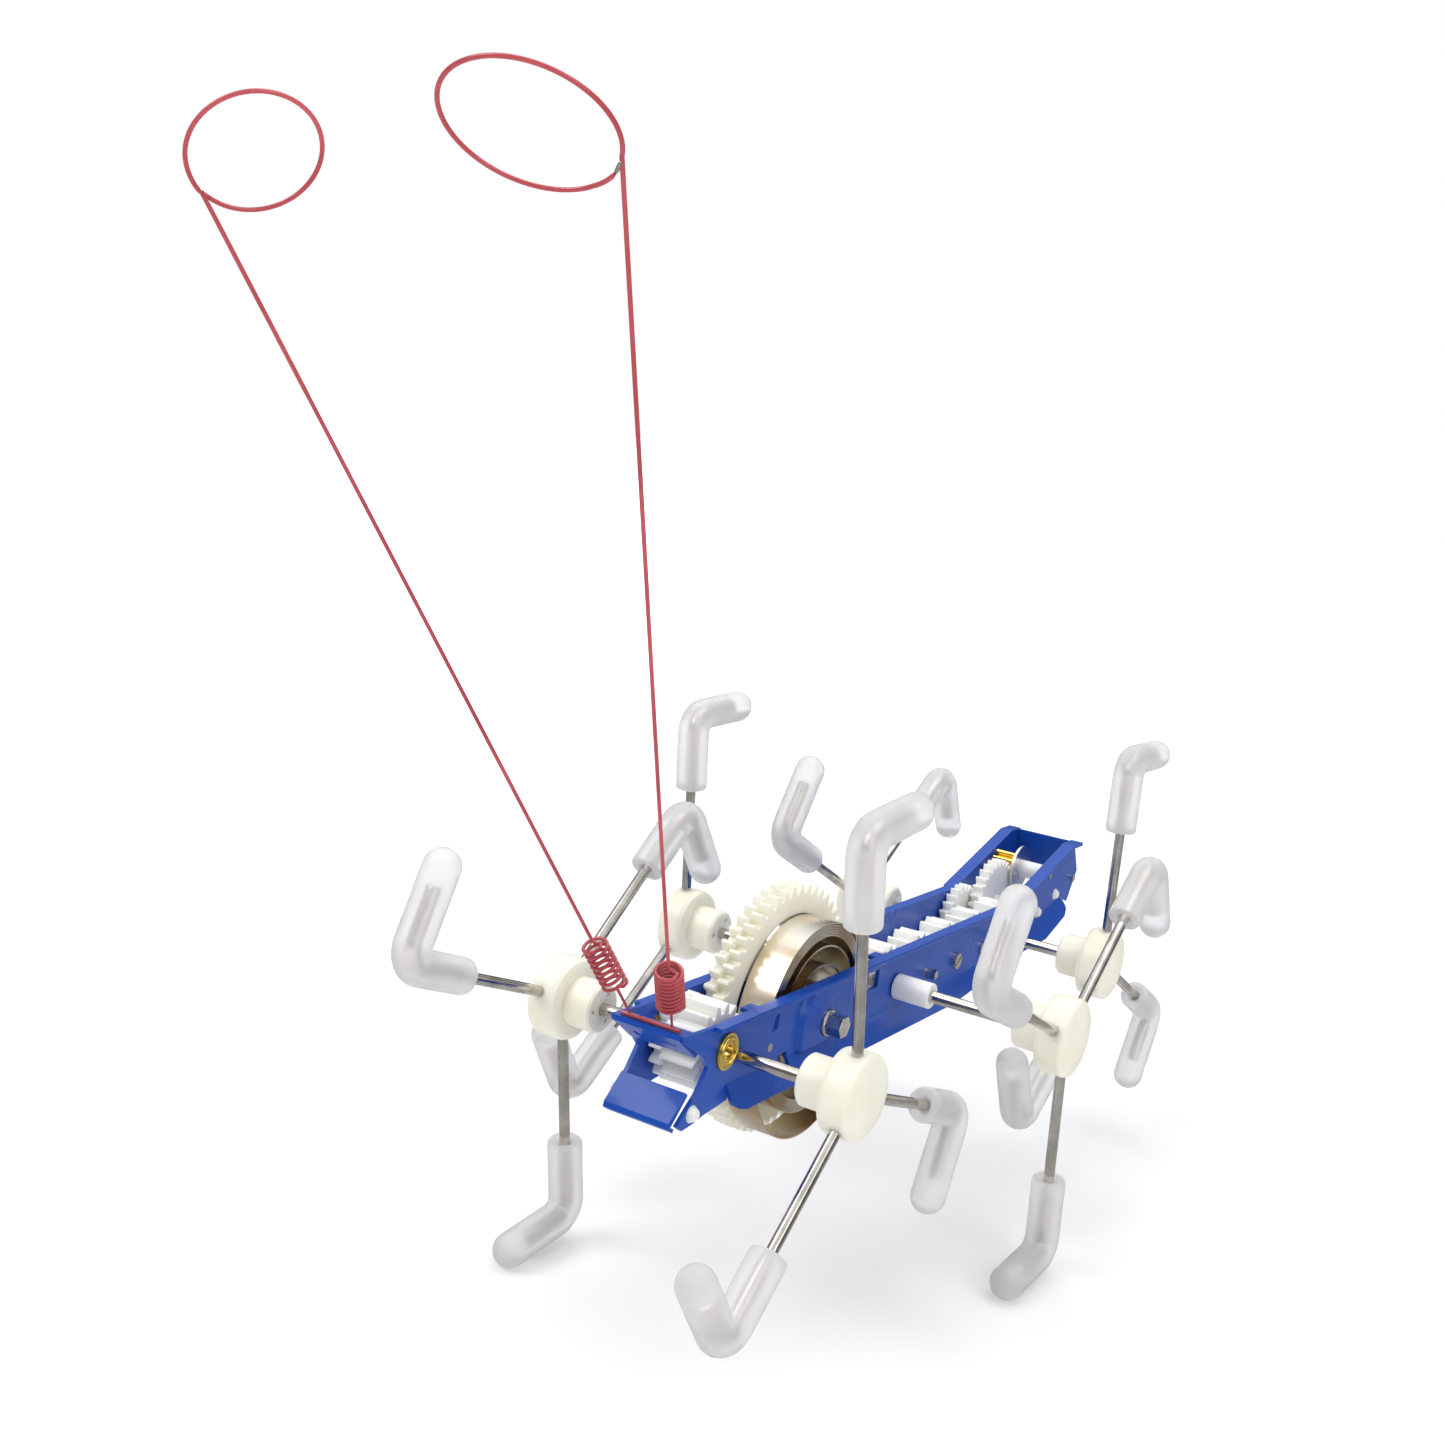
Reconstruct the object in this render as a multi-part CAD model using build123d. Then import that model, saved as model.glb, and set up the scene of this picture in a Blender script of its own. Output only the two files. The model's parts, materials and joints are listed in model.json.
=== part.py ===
from build123d import *
import os
from math import acos, atan2, cos, degrees, hypot, pi, radians, sin, sqrt, tan

# Wind-up walking spider robot: a pressed-steel clockwork frame on six three-legged wheels.
#
# Frame: +X to the right, -Y towards the antennas (forward), +Z up, millimetres.  The floor is z = 0 and
# the origin is the middle of the footprint.  Everything is first built about the front axle
# (y = 0, z = 0 on the axle line) and is moved to the final frame when it is written.

# ---------------------------------------------------------------- driving dimensions (mm, degrees)
LEG_REACH = 34.0            # hub centre to the bend of a leg
WIRE_D = 1.5                # leg wire
FOOT_LENGTH = 0.36 * LEG_REACH
FOOT_TURN = 95.1            # bend between leg and foot
BEND_R = 2.6                # centre-line radius of the bend
BOOT_D = 4.8
BOOT_START = 0.66 * LEG_REACH
FOOT_WIRE_SHARE = 0.80      # the wire stops short of the rounded rubber tip

FRONT_HUB_X = 22.4          # centre plane of the legs, front and rear wheels
MIDDLE_HUB_X = 32.0
MIDDLE_AXLE_Y = 44.6
REAR_AXLE_Y = 85.8
FRONT_PHASE, MIDDLE_PHASE, REAR_PHASE = 11.4, 7.7, 4.2
LEGS_UP = (90, 210, 330)    # two feet low, one leg up
LEGS_DOWN = (270, 30, 150)  # one leg straight down

AXLE_D = 1.8
RUN = 0.05                  # radial running clearance
HUB_DISC_R, HUB_DISC_T = 5.6, 5.4
HUB_BOSS_R, HUB_BOSS_T = 3.4, 4.1

SHEET = 0.6                 # pressed steel thickness
HALF_WIDTH = 5.47           # outside of a side plate
INNER = HALF_WIDTH - SHEET
TOP_Z = 5.2                 # top edge of the plates above the front axle
KINK_Z = -3.3               # where the skirt starts to flare
SKIRT_Z = -6.6
TAIL_Y, TAIL_RISE = 87.0, 14.5   # behind this the skirt climbs at this angle
BOX_TOP_Z = 12.2            # raised box around the governor
SLOPE_START_Y, BOX_Y, REAR_Y = 86.0, 108.0, 112.0
FLANGE = 1.1                # outward top flange
BOX_FLANGE = 1.6

ANTENNA_D = 0.55
ANTENNA_X = 3.1
STRIP_Y = -13.3
PRESSURE_ANGLE = 25
AXLE_TEETH, GREAT_TEETH = 16, 51
ARBOR_DROP = 0.45           # great wheel centre below the line through the front and middle axles
TRAIN_TEETH = 16
DRIVE_TEETH, WHEEL_PINION_TEETH, WHEEL_TEETH, GOVERNOR_TEETH = 26, 10, 29, 8
FINE_MODULE = 0.5


# ---------------------------------------------------------------- small helpers
def rod(radius, x0, x1, y=0.0, z=0.0):
    """Round bar along X."""
    return Pos((x0 + x1) / 2, y, z) * Rot(0, 90, 0) * Cylinder(radius, abs(x1 - x0))


def plate(points, x0, x1):
    """Flat shape drawn in the YZ plane, with its thickness along X."""
    face = Plane.YZ.offset(x0) * make_face(Polyline(*points, close=True))
    return extrude(face, amount=x1 - x0)


def both_sides(shape):
    return [shape, mirror(shape, about=Plane.YZ)]


def merge(*shapes):
    """One clean solid out of touching or overlapping shapes."""
    first, *rest = shapes
    return first.fuse(*rest).clean() if rest else first


# ---------------------------------------------------------------- three-legged wheels
def leg_path(start, end_share):
    """Centre line of a leg that points along +Y, with its foot turned downwards."""
    turn = radians(FOOT_TURN)
    foot = FOOT_LENGTH * end_share
    corner = (0, LEG_REACH, 0)
    tip = (0, LEG_REACH + foot * cos(turn), -foot * sin(turn))
    return FilletPolyline((0, start, 0), corner, tip, radius=BEND_R)


def wire_leg():
    path = leg_path(2.4, FOOT_WIRE_SHARE)
    return sweep(Plane(path @ 0, z_dir=path % 0) * Circle(WIRE_D / 2), path=path)


def boot(wire):
    path = leg_path(BOOT_START, 1.0)
    tube = sweep(Plane(path @ 0, z_dir=path % 0) * Circle(BOOT_D / 2), path=path)
    tip = Pos(*(path @ 1)) * Sphere(BOOT_D / 2)
    return merge(tube, tip) - wire


def hub(side, x_centre, legs):
    """Moulded hub: domed disc outside, boss towards the frame, bored for the axle and three legs."""
    inner = -HUB_DISC_T / 2
    outer = HUB_DISC_T / 2
    edge = 0.9
    profile = make_face(
        Polyline((inner - HUB_BOSS_T, 0), (inner - HUB_BOSS_T, HUB_BOSS_R - 0.3),
                 (inner - HUB_BOSS_T + 0.3, HUB_BOSS_R), (inner, HUB_BOSS_R), (inner, HUB_DISC_R - edge),
                 (inner + 0.3 * edge, HUB_DISC_R - 0.3 * edge), (inner + edge, HUB_DISC_R),
                 (outer - 1.6, HUB_DISC_R))
        + Spline((outer - 1.6, HUB_DISC_R), (outer - 0.7, HUB_DISC_R - 1.2), (outer - 0.15, 2.6), (outer, 0),
                 tangents=((0.7, -0.12), (0, -1)))
        + Line((outer, 0), (inner - HUB_BOSS_T, 0)))
    body = revolve(profile, Axis.X)
    for turn in (60, 180, 300):
        y, z = 2.1 * cos(radians(turn)), 2.1 * sin(radians(turn))
        body -= rod(0.42, inner - HUB_BOSS_T - 1, inner - HUB_BOSS_T + 1.2, y, z)
    body -= rod(AXLE_D / 2, inner - HUB_BOSS_T - 1, 0.8)
    body = Pos(x_centre, 0, 0) * body
    if side < 0:
        body = mirror(body, about=Plane.YZ)
    return body - legs


def wheel(side, x_centre, angles, phase):
    """Hub, wires and boots of one wheel, about the X axis."""
    wire = wire_leg()
    sock = boot(wire)
    place = [Pos(side * x_centre, 0, 0) * Rot(angle + phase, 0, 0) for angle in angles]
    wires = [spot * wire for spot in place]
    boots = [spot * sock for spot in place]
    return hub(side, x_centre, wires), wires, boots


# ---------------------------------------------------------------- gears
def involute_point(base_r, radius, half_angle, sign):
    """Point of a tooth flank at this radius; half_angle is the flank's angle at the base circle."""
    pressure = acos(min(1.0, base_r / radius))
    angle = half_angle - (tan(pressure) - pressure)
    return radius, sign * angle


def gear(module, teeth, x0, x1, bore, turn=0.0, backlash=0.10):
    """Spur gear along X; a tooth stands at the angle `turn` from +Y towards +Z."""
    pitch_r = module * teeth / 2
    base_r = pitch_r * cos(radians(PRESSURE_ANGLE))
    tip_r = pitch_r + 0.85 * module
    root_r = pitch_r - 1.15 * module
    pressure = radians(PRESSURE_ANGLE)
    half = (pi * module / 2 - backlash) / 2 / pitch_r + tan(pressure) - pressure
    start_r = max(base_r, root_r + 0.1 * module)
    radii = [start_r + (tip_r - start_r) * step / 3 for step in range(4)]
    low = [involute_point(base_r, r, half, -1) for r in radii]
    high = [involute_point(base_r, r, half, 1) for r in reversed(radii)]
    tooth = [(root_r, low[0][1])] + low + high + [(root_r, high[-1][1])]
    points = []
    for index in range(teeth):
        centre = radians(turn) + 2 * pi * index / teeth
        points += [(r * cos(centre + a), r * sin(centre + a)) for r, a in tooth]
    return plate(points, x0, x1) - rod(bore, x0 - 1, x1 + 1)


def meshed_turn(turn, teeth, direction, follower_teeth):
    """Turn of a follower gear that puts one of its gaps over the driver's tooth."""
    offset = (turn - direction) * teeth
    return direction + 180 - (offset + 180) / follower_teeth


def direction_of(start, end):
    return degrees(atan2(end[1] - start[1], end[0] - start[0]))


def step_from(start, distance, angle):
    return start[0] + distance * cos(radians(angle)), start[1] + distance * sin(radians(angle))


# ---------------------------------------------------------------- axle stations
front_right = wheel(1, FRONT_HUB_X, LEGS_UP, FRONT_PHASE)
front_left = wheel(-1, FRONT_HUB_X, LEGS_DOWN, FRONT_PHASE)
middle_right = wheel(1, MIDDLE_HUB_X, LEGS_DOWN, MIDDLE_PHASE)
middle_left = wheel(-1, MIDDLE_HUB_X, LEGS_UP, MIDDLE_PHASE)
rear_right = wheel(1, FRONT_HUB_X, LEGS_UP, REAR_PHASE)
rear_left = wheel(-1, FRONT_HUB_X, LEGS_DOWN, REAR_PHASE)


def standing_height(*wheels):
    """Axle height at which the lowest boot of an axle just touches the floor."""
    return -min(piece.bounding_box().min.Z for item in wheels for piece in item[2])


FRONT_HEIGHT = standing_height(front_right, front_left)
MIDDLE_HEIGHT = standing_height(middle_right, middle_left)
REAR_HEIGHT = standing_height(rear_right, rear_left)
front_axle = (0.0, 0.0)
middle_axle = (MIDDLE_AXLE_Y, MIDDLE_HEIGHT - FRONT_HEIGHT)
rear_axle = (REAR_AXLE_Y, REAR_HEIGHT - FRONT_HEIGHT)

# The great wheel stands midway between the front and middle axles and meshes with a gear on each.
half_span = hypot(middle_axle[0], middle_axle[1]) / 2
axle_slope = direction_of(front_axle, middle_axle)
MODULE = 2 * hypot(half_span, ARBOR_DROP) / (AXLE_TEETH + GREAT_TEETH)
arbor = step_from(step_from(front_axle, half_span, axle_slope), ARBOR_DROP, axle_slope - 90)

# Three equal idlers carry the drive from the middle axle to the rear axle.
train_slope = direction_of(middle_axle, rear_axle)
train_step = hypot(rear_axle[0] - middle_axle[0], rear_axle[1] - middle_axle[1]) / 4
train_module = train_step / TRAIN_TEETH
idlers = [step_from(middle_axle, train_step * count, train_slope) for count in (1, 2, 3)]

WHEEL_ANGLE, GOVERNOR_ANGLE = 18, 36
governor_wheel_at = step_from(rear_axle, FINE_MODULE * (DRIVE_TEETH + WHEEL_PINION_TEETH) / 2, WHEEL_ANGLE)
governor_at = step_from(governor_wheel_at, FINE_MODULE * (WHEEL_TEETH + GOVERNOR_TEETH) / 2, GOVERNOR_ANGLE)

EYELET_AT = (-3.1, 1.3)
EYELET_R, EYELET_BORE = 2.4, 0.9
DOME_R, DOME_T = 7.6, 0.8
CHIN_RIVET_AT = (-9.6, -5.2)
STUDS_AT = ((98.6, 1.3), (106.0, 3.3))
REAR_PIN_AT = (113.0, 5.2)
PIN_R = 0.7
SPRING_POST_AT = (8.25, arbor[1] - 0.4)


# ---------------------------------------------------------------- pressed frame
def top_flange(y0, z0, y1, z1, width):
    """Strip bent outwards along one straight stretch of the top edge."""
    strip = [(y0, z0), (y1, z1), (y1, z1 - SHEET), (y0, z0 - SHEET)]
    return plate(strip, INNER, HALF_WIDTH + width)


def skirt():
    """Flared lower edge: a bent strip cut to a rounded outline."""
    flare = 2.6
    low = SKIRT_Z - 0.6
    section = [(INNER, KINK_Z), (HALF_WIDTH, KINK_Z), (HALF_WIDTH + flare, low), (HALF_WIDTH + flare - 0.75, low)]
    straight = extrude(Plane.XZ * make_face(Polyline(*section, close=True)), amount=-90)
    straight = Pos(0, -2, 0) * straight
    tail = extrude(Plane.XZ * make_face(Polyline(*section, close=True)), amount=-30)
    tail = Pos(0, TAIL_Y, KINK_Z) * Rot(TAIL_RISE, 0, 0) * Pos(0, 0, -KINK_Z) * tail
    outline = [(-2.0, KINK_Z + 1), (-2.0, -6.0), (0.2, SKIRT_Z), (62, SKIRT_Z), (80, -5.4), (99.5, -3.2),
               (108.0, -0.6), (109.6, 0.6), (109.2, 1.9), (107.0, 3.6), (95, 3.6), (88, KINK_Z + 1)]
    bound = extrude(Plane.YZ.offset(INNER) * make_face(
        FilletPolyline(*outline, radius=0.9, close=True)), amount=flare + 2)
    return (straight.fuse(tail).clean()) & bound


def side_plate(winding_side):
    """Right-hand plate: flat web, outward top flange and flared skirt, pierced for the mechanism.

    The winding side also has two inward tabs and an embossed dome around the arbor.
    """
    web_outline = [
        (STRIP_Y, 5.5), (-7.6, TOP_Z), (SLOPE_START_Y, TOP_Z), (BOX_Y, BOX_TOP_Z), (REAR_Y, BOX_TOP_Z),
        (115.6, 6.2), (112.6, 0.9), (108.2, 2.6), (106.5, 1.6), (TAIL_Y, KINK_Z - 0.05),
        (-1.0, KINK_Z - 0.05), (-1.4, -5.6), (-6.9, -6.2), (-8.6, -6.6), (-11.4, -6.9), (-12.6, -6.1),
        (-8.9, -2.9), (-6.9, 0.0), (-8.7, 2.0), (-12.9, 4.6)]
    body = plate(web_outline, INNER, HALF_WIDTH)
    body = merge(body, top_flange(-6.5, TOP_Z, SLOPE_START_Y, TOP_Z, FLANGE),
                 top_flange(SLOPE_START_Y, TOP_Z, BOX_Y, BOX_TOP_Z, BOX_FLANGE),
                 top_flange(BOX_Y, BOX_TOP_Z, REAR_Y, BOX_TOP_Z, BOX_FLANGE),
                 skirt())
    if winding_side:
        for y in (2.6, 37.6):
            tab = [(y, TOP_Z), (y + 2.4, TOP_Z), (y + 2.4, TOP_Z - SHEET), (y, TOP_Z - SHEET)]
            body = merge(body, plate(tab, INNER - 1.3, INNER))
        spot = Pos(0, *arbor)
        cone = Pos(HALF_WIDTH + DOME_T / 2, 0, 0) * Rot(0, 90, 0) * Cone(DOME_R, DOME_R - DOME_T, DOME_T)
        top = TOP_Z - 0.8
        flat_web = plate([(0, KINK_Z), (60, KINK_Z), (60, top), (0, top)], 0, 9)
        body = merge(body, (spot * cone) & flat_web)
        body -= (spot * rod(DOME_R - 0.9, INNER - 0.01, HALF_WIDTH + DOME_T - SHEET)) & flat_web
    for y, z in (front_axle, middle_axle, rear_axle):
        body -= rod(AXLE_D / 2 + RUN, 0, 9, y, z)
    body -= rod((1.85 if winding_side else 1.0) + RUN, 0, 9, *arbor)
    body -= rod(1.3, 0, 9, *EYELET_AT)
    for y, z in idlers:
        body -= rod(PIN_R, 0, 9, y, z)
    body -= rod(0.55 + RUN, 0, 9, *governor_wheel_at)
    body -= rod(0.55 + RUN, 0, 9, *governor_at)
    body -= rod(0.6, 0, 9, *CHIN_RIVET_AT)
    for y, z in STUDS_AT + (REAR_PIN_AT,):
        body -= rod(0.6, 0, 9, y, z)
    if winding_side:
        body -= rod(0.6, 0, 9, *SPRING_POST_AT)
    body -= plate([(8.3, 1.0), (8.9, 3.1), (9.9, 3.3), (9.7, 1.2)], 0, 9)
    body -= plate([(10.9, -4.3), (13.0, -4.3), (13.0, -2.7), (10.9, -2.7)], 0, 9)
    body -= plate([(35.0, 0.7), (38.3, 0.7), (38.3, 3.4), (35.0, 3.4)], 0, 9)
    body -= rod(0.7, 0, 9, 32.6, -2.4)
    return body


def front_bridge():
    """Folded strip across the top of the mouth, with a small hole and a slot."""
    top = [(STRIP_Y, 5.5), (-10.6, 5.35), (-10.6, 5.35 - SHEET), (-12.7, 4.85)]
    front = [(STRIP_Y, 5.5), (-12.7, 4.85), (-8.7, 2.3), (-9.2, 1.7), (-13.5, 4.9)]
    body = merge(plate(top, -INNER, INNER), plate(front, -INNER, INNER))
    hole = Pos(-2.6, -11.2, 3.4) * Rot(0, 0, 0) * Cylinder(0.55, 6)
    slot = Pos(2.2, -11.4, 3.6) * Box(2.2, 0.5, 6)
    return body - hole - slot


def chin_panel():
    """Sloping panel under the mouth; its right-hand tab is folded over the plate edge."""
    panel = [(-13.5, -5.6), (-10.3, -2.5), (-9.85, -2.9), (-13.0, -6.2)]
    lip = [(-13.5, -5.6), (-13.0, -6.2), (-12.2, -6.6), (-12.4, -7.1), (-13.7, -6.3)]
    return merge(plate(panel, -INNER, INNER), plate(lip, -INNER, INNER))


def rear_wall():
    wall = [(110.6, BOX_TOP_Z), (110.6 + SHEET, BOX_TOP_Z), (112.6, 6.4), (112.0, 6.4)]
    return plate(wall, -INNER, INNER)


def eyelet():
    """Brass eyelet rolled over both faces of a side plate."""
    barrel = rod(1.3, INNER, HALF_WIDTH)
    outside = Pos(HALF_WIDTH + 0.2, 0, 0) * Rot(0, 90, 0) * Cylinder(EYELET_R, 0.4)
    rim = Pos(HALF_WIDTH + 0.4, 0, 0) * Rot(0, 90, 0) * Torus(1.75, 0.3)
    inside = rod(1.9, INNER - 0.35, INNER)
    body = merge(barrel, outside, rim, inside) - rod(EYELET_BORE, 0, 9)
    return Pos(0, *EYELET_AT) * body


def headed_stud(head_r, head_t, at):
    """Short rivet through a side plate, with a rounded head outside and a flat one inside."""
    shank = rod(0.6, INNER - 0.25, HALF_WIDTH + 0.1)
    dome = Pos(HALF_WIDTH, 0, 0) * Rot(0, 90, 0) * Pos(0, 0, head_t / 2) * Cone(head_r, 0.6 * head_r, head_t)
    return Pos(0, *at) * merge(shank, dome, rod(0.9, INNER - 0.25, INNER))


def idler_pin(at, tail):
    """Pin pressed through both plates, with its end shaped by `tail`."""
    return Pos(0, *at) * merge(rod(PIN_R, -HALF_WIDTH - 0.4, HALF_WIDTH + 0.05), tail)


def square_tail():
    return Pos(HALF_WIDTH + 0.9, 0, 0) * Rot(20, 0, 0) * Box(1.7, 1.15, 1.15)


def slotted_tail():
    head = rod(1.25, HALF_WIDTH, HALF_WIDTH + 0.75)
    return head - Pos(HALF_WIDTH + 0.75, 0, 0) * Rot(35, 0, 0) * Box(0.6, 3, 0.35)


def plain_tail():
    return rod(1.05, HALF_WIDTH, HALF_WIDTH + 0.45)


# ---------------------------------------------------------------- motor
ROW_LEFT, ROW_MID, ROW_RIGHT = -4.2, -2.5, -0.8      # two tooth rows of the great wheel
SPRING_LEFT, SPRING_RIGHT = -0.5, 4.25
TRAIN_LEFT, TRAIN_RIGHT = -0.2, 3.9
ARBOR_R = 1.6
HEX_END = 9.0
SPRING_BAND = 0.22
SPRING_PACK_R, SPRING_OUTER_R = 11.5, 13.3     # the tight turns of the mainspring
SPRING_LOW_R = 16.9                            # its last turn hangs loose to this depth

great_direction = direction_of(front_axle, arbor)
great_turn = meshed_turn(0, AXLE_TEETH, great_direction, GREAT_TEETH)
middle_turn = meshed_turn(great_turn, GREAT_TEETH, direction_of(arbor, middle_axle), AXLE_TEETH)


def stepped_rows(teeth, bore, turn, left, mid, right):
    """Two tooth rows side by side, the second half a tooth further round."""
    return merge(gear(MODULE, teeth, left, mid, bore, turn),
                 gear(MODULE, teeth, mid, right, bore, turn + 180 / teeth))


def front_gear():
    rows = stepped_rows(AXLE_TEETH, AXLE_D / 2, 0, ROW_LEFT, ROW_MID, 2.6)
    return rows


def great_wheel():
    rows = stepped_rows(GREAT_TEETH, 13.5, great_turn, ROW_LEFT, ROW_MID, ROW_RIGHT)
    web = rod(14.0, ROW_LEFT + 0.1, ROW_LEFT + 1.1) - rod(ARBOR_R + RUN, -9, 9)
    bush = rod(3.2, ROW_LEFT + 0.1, ROW_RIGHT) - rod(ARBOR_R + RUN, -9, 9)
    windows = [Rot(angle, 0, 0) * rod(3.1, -9, 9, 8.4, 0) for angle in (20, 92, 164, 236, 308)]
    return Pos(0, *arbor) * (merge(rows, web, bush) - windows)


def half_turn_radii():
    """Distance of the band's middle from the arbor centre, half a turn apart."""
    inner = ARBOR_R + 0.5
    loose = [inner + (SPRING_PACK_R - inner) * step / 7 for step in range(7)]
    tight = [SPRING_PACK_R + (SPRING_OUTER_R - SPRING_PACK_R) * step / 11 for step in range(12)]
    return loose + tight + [SPRING_LOW_R]


def spring_edge(offset):
    """Tangent half circles, their centres all on one upright line, then a last arc up to the post.

    Drawn with the upright line along Y and the front of the robot along +Z.
    """
    arcs = []
    radii = [radius + offset for radius in half_turn_radii()]
    for index in range(len(radii) - 1):
        side = 1 if index % 2 == 0 else -1
        start, end = side * radii[index], -side * radii[index + 1]
        crown = ((start + end) / 2, -side * (radii[index] + radii[index + 1]) / 2)
        arcs.append(ThreePointArc((start, 0), crown, (end, 0)))
    low = half_turn_radii()[-1]
    reach = arbor[0] - SPRING_POST_AT[0] + 0.6 + SPRING_BAND / 2
    rise = SPRING_POST_AT[1] - arbor[1]
    radius = (reach ** 2 + (low + rise) ** 2) / (2 * (low + rise))
    centre = radius - low
    sweep_angle = atan2(reach, centre - rise)
    def on_arc(angle):
        return centre - (radius + offset) * cos(angle), (radius + offset) * sin(angle)
    arcs.append(ThreePointArc(on_arc(0), on_arc(sweep_angle / 2), on_arc(sweep_angle)))
    return arcs


def mainspring():
    """Steel band: loose inner turns, a tight pack, and a last loose turn that ends on the spring post."""
    outer = spring_edge(SPRING_BAND / 2)
    inner = spring_edge(-SPRING_BAND / 2)
    ends = [Line(outer[0] @ 0, inner[0] @ 0), Line(outer[-1] @ 1, inner[-1] @ 1)]
    face = Plane.YZ.offset(SPRING_LEFT) * make_face(Curve() + outer + inner + ends)
    return Pos(0, *arbor) * Rot(90, 0, 0) * extrude(face, amount=SPRING_RIGHT - SPRING_LEFT)


def winding_arbor():
    """Arbor with a hexagonal winding end on the right."""
    hex_face = Plane.YZ.offset(6.6) * RegularPolygon(1.62, 6)
    return Pos(0, *arbor) * merge(
        rod(1.0, -HALF_WIDTH - 0.5, -4.4), rod(ARBOR_R, -4.4, RATCHET_LEFT), rod(1.85, RATCHET_LEFT, 6.6),
        extrude(hex_face, amount=HEX_END - 6.6))


RATCHET_TEETH, RATCHET_R = 12, 4.6
RATCHET_LEFT, RATCHET_RIGHT = 4.42, 4.82


def ratchet_wheel():
    points = []
    for index in range(RATCHET_TEETH):
        start = 2 * pi * index / RATCHET_TEETH
        points += [(RATCHET_R * cos(start), RATCHET_R * sin(start)),
                   (3.8 * cos(start + 0.05), 3.8 * sin(start + 0.05))]
    return Pos(0, *arbor) * (plate(points, RATCHET_LEFT, RATCHET_RIGHT) - rod(1.85, 0, 9))


CLICK_PIVOT = (4.6, 3.6)    # from the arbor
click_at = (arbor[0] + CLICK_PIVOT[0], arbor[1] + CLICK_PIVOT[1])


def click():
    """Small pawl on a pin, lying against the ratchet teeth."""
    arm = [(0.9, 0.0), (0.5, 0.8), (-0.6, 0.9), (-3.4, 1.7), (-3.6, 1.35), (-0.8, -0.35), (0.4, -0.7)]
    body = plate(arm, RATCHET_LEFT, RATCHET_RIGHT) - rod(0.35 + RUN, 0, 9)
    return Pos(0, *click_at) * body


def click_pin():
    return rod(0.35, RATCHET_LEFT - 0.05, HALF_WIDTH + DOME_T - SHEET, *click_at)


# Gears of the train: each turn follows from the gear before it.
train_turn = [0.0]
for count in range(4):
    train_turn.append(meshed_turn(train_turn[-1], TRAIN_TEETH, train_slope, TRAIN_TEETH))
wheel_turn = meshed_turn(0, DRIVE_TEETH, WHEEL_ANGLE, WHEEL_PINION_TEETH)
governor_turn = meshed_turn(0, WHEEL_TEETH, GOVERNOR_ANGLE, GOVERNOR_TEETH)


def middle_gear():
    rows = stepped_rows(AXLE_TEETH, AXLE_D / 2, middle_turn, ROW_LEFT, ROW_MID, ROW_RIGHT)
    collar = rod(3.4, ROW_RIGHT, TRAIN_LEFT) - rod(AXLE_D / 2, -9, 9)
    train = gear(train_module, TRAIN_TEETH, TRAIN_LEFT, TRAIN_RIGHT, AXLE_D / 2, train_turn[0])
    return Pos(0, *middle_axle) * merge(rows, collar, train)


def idler_gear(index):
    teeth = gear(train_module, TRAIN_TEETH, TRAIN_LEFT, TRAIN_RIGHT, PIN_R + RUN, train_turn[index + 1])
    boss = rod(2.6, -4.5, TRAIN_LEFT) - rod(PIN_R + RUN, -9, 9)
    return Pos(0, *idlers[index]) * merge(teeth, boss)


def rear_gear():
    return Pos(0, *rear_axle) * gear(train_module, TRAIN_TEETH, TRAIN_LEFT, TRAIN_RIGHT, AXLE_D / 2, train_turn[4])


def governor_drive_gear():
    return Pos(0, *rear_axle) * gear(FINE_MODULE, DRIVE_TEETH, -4.5, -2.9, AXLE_D / 2, 0, backlash=0.12)


def governor_wheel():
    """Pinion, wheel and spindle moulded in one."""
    pinion = gear(FINE_MODULE, WHEEL_PINION_TEETH, -4.4, -2.6, 0.5, wheel_turn, backlash=0.12)
    teeth = gear(FINE_MODULE, WHEEL_TEETH, -2.6, -0.7, 0.5, 0, backlash=0.12)
    spindle = rod(0.55, -HALF_WIDTH - 0.3, HALF_WIDTH + 0.3)
    return Pos(0, *governor_wheel_at) * merge(pinion, teeth, rod(1.6, -0.7, 4.4), spindle)


def governor_spindle():
    return rod(0.55, -HALF_WIDTH - 0.3, HALF_WIDTH + 0.3, *governor_at)


def governor_pinion():
    return Pos(0, *governor_at) * gear(FINE_MODULE, GOVERNOR_TEETH, -4.5, -0.3, 0.55, governor_turn, backlash=0.12)


def governor_disc():
    return Pos(0, *governor_at) * (rod(3.9, -0.3, 0.1) - rod(0.55, -9, 9))


def governor_collar():
    return Pos(0, *governor_at) * (rod(1.5, 0.1, 4.3) - rod(0.55, -9, 9))


# ---------------------------------------------------------------- antennas
BAR_Z = 5.5 + ANTENNA_D / 2
BAR_Y = -12.6
COIL_R, COIL_LENGTH = 1.72, 6.8
STUB = 0.9
STEM_END = 106.4                       # base of the stub to the start of the loop, along the antenna


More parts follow.
